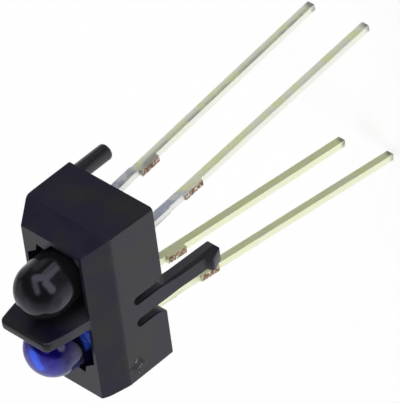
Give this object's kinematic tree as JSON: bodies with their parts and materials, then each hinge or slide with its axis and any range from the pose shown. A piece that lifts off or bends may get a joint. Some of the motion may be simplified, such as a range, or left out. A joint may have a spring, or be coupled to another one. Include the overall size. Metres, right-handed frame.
{
  "type": "reflective optical sensor",
  "caption": "Small black sensor housing holding a blue emitter lens and a dark detector lens either side of a barrier, with a snap clip, a locating peg and long leads.",
  "frame": {"origin": "middle of the seat, the flat back of the housing that lies on the board", "axes": "+Z from the seat towards the lenses, +X along the housing towards the detector lens, +Y away from the snap clip"},
  "size_m": [0.0104, 0.0063, 0.025],
  "materials": {
    "black_plastic": "satin, slightly bluish black moulding",
    "blue_epoxy": "clear cast epoxy, violet blue",
    "black_epoxy": "glossy cast epoxy, nearly black",
    "tinned_lead": "dull tin plating over steel, bare copper colour on the sheared ends",
    "chip_silicon": "dark sawn semiconductor die",
    "die_glue": "silver-filled glue",
    "bond_gold": "fine gold wire"
  },
  "bodies": {
    "root": {"housing": "black_plastic", "emitter_lens": "blue_epoxy", "emitter_cathode_lead": "tinned_lead", "emitter_anode_lead": "tinned_lead", "emitter_chip": "chip_silicon", "emitter_die_attach": "die_glue", "emitter_bond_wire": "bond_gold", "detector_lens": "black_epoxy", "detector_collector_lead": "tinned_lead", "detector_emitter_lead": "tinned_lead", "detector_chip": "chip_silicon", "detector_die_attach": "die_glue", "detector_bond_wire": "bond_gold"}
  },
  "joints": []
}
